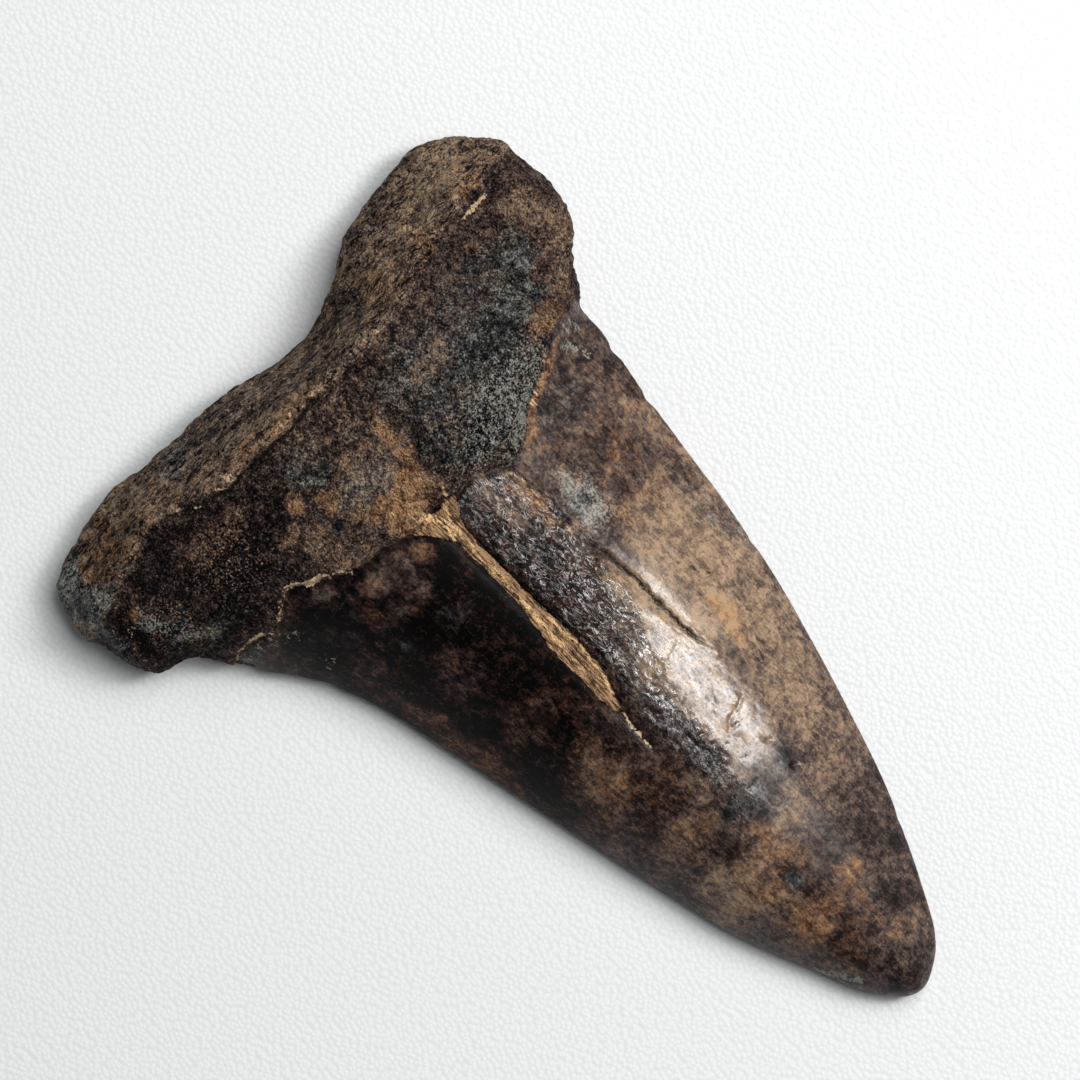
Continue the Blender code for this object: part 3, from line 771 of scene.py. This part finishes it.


# Colours of the stains, of the crust and clay in cracks, of the painted highlight on the hairline's lit wall,
# and of the painted shade in the fine crack and under the base's crease.
BLACK_STAIN = (0.0012, 0.0010, 0.0010, 1.0)
SOOT = (0.0086, 0.0056, 0.0054, 1.0)
UMBER = (0.031, 0.0205, 0.0185, 1.0)
BROWN = (0.095, 0.064, 0.053, 1.0)
TAN = (0.225, 0.152, 0.102, 1.0)
HONEY = (0.42, 0.285, 0.18, 1.0)
RUST_DARK = (0.034, 0.0150, 0.0105, 1.0)
RUST = (0.19, 0.095, 0.050, 1.0)
RUST_LIGHT = (0.46, 0.27, 0.135, 1.0)
SLATE_DARK = (0.0075, 0.0080, 0.0090, 1.0)
SLATE = (0.052, 0.054, 0.053, 1.0)
ASH = (0.34, 0.335, 0.295, 1.0)
PALE_CRUST_AND_GLINT = (0.74, 0.53, 0.34, 1.0)
PALE_GREEN = (0.29, 0.30, 0.25, 1.0)
GOLD_FILL = (0.95, 0.62, 0.32, 1.0)
CLAY_FILL = (0.5, 0.305, 0.165, 1.0)
CLAY_SHADOW = (0.085, 0.047, 0.028, 1.0)
CREVICE_SHADE = (0.006, 0.0042, 0.0035, 1.0)

# Each is a scale of tones: where a colour stands on it, and the colour.
PLAIN_TONES = [(0.0, BLACK_STAIN), (0.12, SOOT), (0.29, UMBER), (0.5, BROWN), (0.7, TAN), (0.95, HONEY)]
WARM_TONES = [(0.0, BLACK_STAIN), (0.25, RUST_DARK), (0.55, RUST), (0.9, RUST_LIGHT)]
GREY_TONES = [(0.0, BLACK_STAIN), (0.2, SLATE_DARK), (0.45, SLATE), (0.85, ASH)]

# The shader's own settings: reflection without polish, the polish itself, and the relief's depth in metres.
DULL_REFLECTION = 0.07
POLISH_ROUGHNESS = 0.2
POLISH_IOR = 1.5
RELIEF_DEPTH = 0.00018


def split(cloud):
    """Cloudy noise pressed into two tones, -0.5 and 0.5, with a narrow border between them."""
    return cloud.step(-0.07, 0.07) - 0.5


def mottled_tone(finish, masks):
    """The painted tone broken up into blotches, mottle, fibres and specks; some pale specks and the rough
    band's lighter ridges are painted glints. Also returns the mottle.
    """
    blotch = finish.noise(1.7, 4.0, 0.62, 0.4, 1.0)
    mottle = finish.noise((0.45, 0.55, 0.45), 3.0, 0.65, 0.3, 3.0)
    fibre = finish.noise((0.13, 1.0, 0.5), 2.0, 0.6, 0.3, 5.0)
    speck = finish.noise(0.16, 1.0, 0.5, 0.0, 7.0)
    # Pale specks on top of the grain, partly painted glints.
    glitter = finish.noise(0.19, 1.0, 0.5, 0.0, 9.0).step(0.26, 0.5)
    sparkle = finish.painted("sparkle")
    patches = blotch * 0.18 + split(blotch) * 0.08
    crown_specks = speck * (0.22 + sparkle * 0.3) + glitter * 0.03
    # The rough band's ridges are painted lighter: painted glints along them.
    crown_part = (patches + mottle * 0.3 + split(mottle) * 0.07 + fibre * 0.2 + crown_specks
                  + masks["band"] * (masks["ridges"] * 0.24 - 0.02))

    curl = finish.noise((0.75, 0.6, 0.6), 2.0, 0.5, 1.6, 11.0)
    layer = finish.noise((1.3, 0.42, 0.5), 3.0, 0.6, 1.6, 13.0)
    base = finish.painted("base")
    wisps = (1.0 - curl.size() * 9.0).step(0.1, 1.0) * 0.2
    strata = layer * 0.75 + (1.0 - layer.size() * 9.0).step(0.1, 1.0) * 0.44 - 0.12
    root_specks = speck * (0.5 + sparkle * 0.6) + glitter * (0.22 + sparkle * 0.4)
    root_part = (patches * (base * 0.7 + 1.0) + mottle * 0.6 + root_specks + wisps * (1.0 - base)
                 + strata * base)
    return finish.painted("tone") + crown_part + masks["root"] * (root_part - crown_part), mottle


def broken_line(finish, name, cloud):
    """Painted lines that a cloudy noise breaks up."""
    drawn = finish.painted(name)
    return (drawn + cloud).step(0.42, 0.85) * drawn.step(0.02, 0.2)


def tooth_colour(finish, masks):
    """The tooth's colour, with painted shade in the fine crack and under the base's crease. Adds to the masks
    where the crack's fill and the painted lines show.
    """
    tone, edge = mottled_tone(finish, masks)
    drift = finish.noise(0.9, 3.0, 0.65, 0.3, 15.0)
    plain = finish.ramp(tone, PLAIN_TONES)
    warm = finish.ramp(tone, WARM_TONES)
    grey = finish.ramp(tone, GREY_TONES)
    warmth = (finish.painted("warmth") + drift * 0.7).step(0.2, 1.0)
    greyness = (finish.painted("greyness") - drift * 0.6).step(0.15, 0.9)
    colour = finish.mix(greyness, finish.mix(warmth, plain, warm), grey)

    spots = (finish.painted("spots") + edge * 1.2).step(0.45, 0.65)
    colour = finish.mix(spots * 0.7, colour, BLACK_STAIN)

    fibres = finish.noise((0.12, 1.3, 0.6), 2.0, 0.6, 0.3, 19.0)
    masks["fill"] = (finish.painted("fill") + edge * 0.4).step(0.3, 0.6)
    clay = finish.mix((fibres * 2.0 + edge * 0.9 + 0.62).step(0.0, 1.0), CLAY_SHADOW, CLAY_FILL)
    colour = finish.mix(masks["fill"] * 0.95, colour, clay)
    torn = edge * 1.1 + finish.noise(0.18, 1.0, 0.5, 0.0, 21.0) * 0.8
    masks["gold"] = broken_line(finish, "gold", edge * 0.9 + fibres * 0.8)
    masks["green"] = broken_line(finish, "green", torn)
    # The crust lines also carry the painted highlight along the hairline.
    masks["crust"] = broken_line(finish, "crust", torn)
    colour = finish.mix(masks["gold"] * 0.8, colour, GOLD_FILL)
    colour = finish.mix(masks["green"] * 0.75, colour, PALE_GREEN)
    colour = finish.mix(masks["crust"] * 0.9, colour, PALE_CRUST_AND_GLINT)
    # Painted shade: the fine crack and the crease darkened almost to black.
    dirt = (finish.painted("dirt") + torn * 0.6).step(0.45, 0.85)
    return finish.mix(dirt * 0.9, colour, CREVICE_SHADE)


def tooth_finish():
    """Rough bone and clay, and a crown under a polish that is worn, pricked and streaked."""
    finish = Finish("fossil tooth")
    ridge = finish.noise((0.34, 0.75, 0.6), 2.0, 0.55, 1.2, 27.0)
    ragged = finish.noise(0.6, 2.0, 0.6, 0.4, 33.0)
    masks = {
        "root": finish.painted("root"),
        "band": (finish.painted("band") + ragged * 1.2).step(0.15, 0.85),
        "ridges": (1.0 - ridge.size() * 6.5).step(0.0, 1.0),
    }
    colour = tooth_colour(finish, masks)
    smear = finish.noise((0.7, 1.6, 1.0), 3.0, 0.65, 0.2, 23.0)
    crumbly = masks["fill"].top(masks["crust"]).top(masks["green"]).top(masks["gold"])
    roughness = 0.5 + smear * 0.12 + masks["root"].top(crumbly) * 0.3
    streaks = finish.noise((0.15, 0.8, 0.5), 2.0, 0.6, 0.5, 39.0).step(-0.2, 0.1)
    pricks = finish.noise(0.2, 1.0, 0.5, 0.0, 41.0).step(0.15, 0.35)
    worn = finish.painted("shine") * (1.0 + smear * 0.9) * (1.0 - pricks * 0.55) * (streaks * 0.35 + 0.65)
    glints = masks["band"] * masks["ridges"] * (worn * 0.7 + 0.75)
    shine = (worn * (1.0 - masks["band"] * 0.75) + glints) * (1.0 - crumbly)

    grain = finish.noise(0.36, 3.0, 0.65, 0.1, 29.0)
    beads = finish.noise(0.17, 1.0, 0.5, 0.0, 31.0)
    coarse = masks["root"].top(finish.painted("fill") * 0.7)
    band_height = masks["band"] * (masks["ridges"] * 0.6 + grain * 0.5)
    height = coarse * (grain * 1.7 + beads) + band_height + grain * 0.06
    relief = finish.relief(height, RELIEF_DEPTH)

    inputs = finish.shader.inputs
    finish.feed(inputs["Base Color"], colour)
    finish.feed(inputs["Roughness"], roughness)
    finish.feed(inputs["Coat Weight"], shine)
    finish.feed(inputs["Normal"], relief)
    inputs["Specular IOR Level"].default_value = DULL_REFLECTION
    inputs["Coat Roughness"].default_value = POLISH_ROUGHNESS
    inputs["Coat IOR"].default_value = POLISH_IOR
    return finish.material


# The board: its colours, its roughness, and its pebbles' spacing in millimetres and depth in metres.
BOARD_PALE = (0.915, 0.93, 0.94, 1.0)
BOARD_HOLLOWS = (0.87, 0.89, 0.90, 1.0)
BOARD_ROUGHNESS = 0.5
PEBBLE_SPACING = 0.34
PEBBLE_DEPTH = 0.00003


def floor_finish():
    """A pale board with a fine pebbled face."""
    finish = Finish("pale board")
    pebble = finish.pebbles(PEBBLE_SPACING)
    # The pebbles' hollows are painted a little darker than their tops: painted shade.
    colour = finish.mix(pebble.step(0.05, 0.6), BOARD_PALE, BOARD_HOLLOWS)
    inputs = finish.shader.inputs
    finish.feed(inputs["Base Color"], colour)
    finish.feed(inputs["Normal"], finish.relief(pebble, PEBBLE_DEPTH, inverted=True))
    inputs["Roughness"].default_value = BOARD_ROUGHNESS
    return finish.material


# The tooth

def make_tooth():
    mesh, ground = fine_tooth()
    paint_points(mesh, ground)
    place(mesh, (positions(mesh) - (DRAWING_MIDDLE_X, 0.0, 0.0)) * MM)
    mesh.shade_smooth()
    mesh.materials.clear()
    mesh.materials.append(tooth_finish())
    tooth = bpy.data.objects.new("fossil_tooth", mesh)
    bpy.context.scene.collection.objects.link(tooth)
    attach(tooth, "root")
    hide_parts("shark_tooth")


# Floor, lights and camera

FLOOR_SIZE = 4.0

# The camera looks straight down. The view level is the height at which the picture has its stated width.
VIEW_TURN = np.radians(-45.0)
VIEW_CENTRE = (0.00443, 0.00761)
VIEW_HEIGHT = 0.42
VIEW_LEVEL = 0.003
PICTURE_PIXELS = 1080
PIXELS_PER_MM = 14.72
PICTURE_WIDTH = PICTURE_PIXELS / PIXELS_PER_MM * MM
SENSOR = 36.0
SEEN_DISTANCES = (0.01, 10.0)

# The sky's colour, its brightness near the horizon and overhead, and the heights between which it fades.
SKY_COLOUR = (0.93, 0.97, 1.0, 1.0)
SKY_LOW = 0.85
SKY_HIGH = 0.02
SKY_FADE = (0.15, 0.45)

# Each light is a soft panel: the direction towards it, its distance, width, height and power.
LIGHTS = {
    "soft_box": ((0.48, -0.03, 0.87), 0.42, 0.34, 0.34, 1.54),
    "window": ((0.62, -0.245, 0.75), 0.6, 0.12, 0.22, 1.3),
}
LIGHT_COLOUR = (1.0, 0.99, 0.975)


def make_floor():
    form = bmesh.new()
    bmesh.ops.create_grid(form, x_segments=1, y_segments=1, size=0.5 * FLOOR_SIZE)
    mesh = bpy.data.meshes.new("pale board")
    form.to_mesh(mesh)
    form.free()
    mesh.materials.append(floor_finish())
    board = bpy.data.objects.new("pale_board", mesh)
    bpy.context.scene.collection.objects.link(board)


def make_lights():
    for name, (towards, distance, width, height, power) in LIGHTS.items():
        direction = Vector(towards).normalized()
        data = bpy.data.lights.new(name, "AREA")
        data.shape = "RECTANGLE"
        data.size, data.size_y = width, height
        data.energy = power
        data.color = LIGHT_COLOUR
        panel = bpy.data.objects.new(name, data)
        panel.location = direction * distance
        panel.rotation_mode = "QUATERNION"
        panel.rotation_quaternion = direction.to_track_quat("Z", "Y")
        bpy.context.scene.collection.objects.link(panel)
    make_sky()


def make_sky():
    """A dome that is bright near the horizon and dark overhead."""
    sky = bpy.data.worlds.new("soft studio")
    sky.use_nodes = True
    nodes, links = sky.node_tree.nodes, sky.node_tree.links
    place = nodes.new("ShaderNodeTexCoord")
    height = nodes.new("ShaderNodeSeparateXYZ")
    fade = nodes.new("ShaderNodeMapRange")
    fade.interpolation_type = "SMOOTHSTEP"
    fade.inputs["From Min"].default_value, fade.inputs["From Max"].default_value = SKY_FADE
    fade.inputs["To Min"].default_value = SKY_LOW
    fade.inputs["To Max"].default_value = SKY_HIGH
    background = nodes["Background"]
    background.inputs["Color"].default_value = SKY_COLOUR
    links.new(place.outputs["Generated"], height.inputs["Vector"])
    links.new(height.outputs["Z"], fade.inputs["Value"])
    links.new(fade.outputs["Result"], background.inputs["Strength"])
    bpy.context.scene.world = sky


def make_camera():
    data = bpy.data.cameras.new("overhead")
    data.sensor_width = SENSOR
    data.lens = SENSOR * (VIEW_HEIGHT - VIEW_LEVEL) / PICTURE_WIDTH
    data.clip_start, data.clip_end = SEEN_DISTANCES
    camera = bpy.data.objects.new("overhead", data)
    camera.location = (*VIEW_CENTRE, VIEW_HEIGHT)
    camera.rotation_euler = (0.0, 0.0, VIEW_TURN)
    bpy.context.scene.collection.objects.link(camera)
    bpy.context.scene.camera = camera


make_tooth()
make_floor()
make_lights()
make_camera()

bpy.context.scene.view_settings.view_transform = "Standard"
